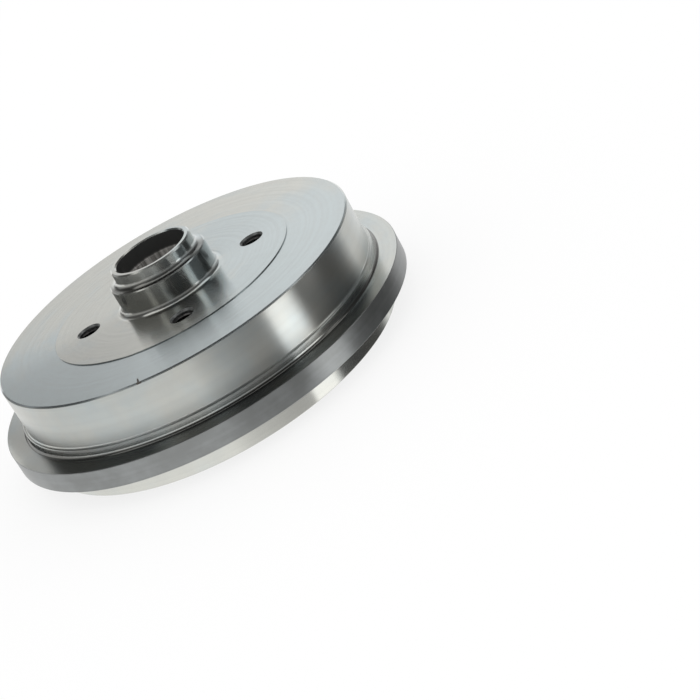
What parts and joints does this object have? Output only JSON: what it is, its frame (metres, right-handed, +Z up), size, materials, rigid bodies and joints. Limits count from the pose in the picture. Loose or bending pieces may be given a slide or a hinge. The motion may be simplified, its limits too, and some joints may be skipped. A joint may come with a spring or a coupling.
{
  "type": "brake drum",
  "caption": "Rear brake drum with integral wheel hub: turned iron drum with a heavy rim flange, a stepped hub nose, bearing seats and tapped wheel-bolt holes",
  "frame": {"origin": "centre of the open rim's end plane, which the drum stands on", "axes": "+Z up the axle line to the hub nose; the wheel-bolt holes lie on X and Y"},
  "size_m": [0.239, 0.239, 0.0807],
  "materials": {
    "iron": "turned bright on the working faces, as cast on the web inside"
  },
  "bodies": {
    "root": {"brake_drum": "iron"}
  },
  "joints": []
}
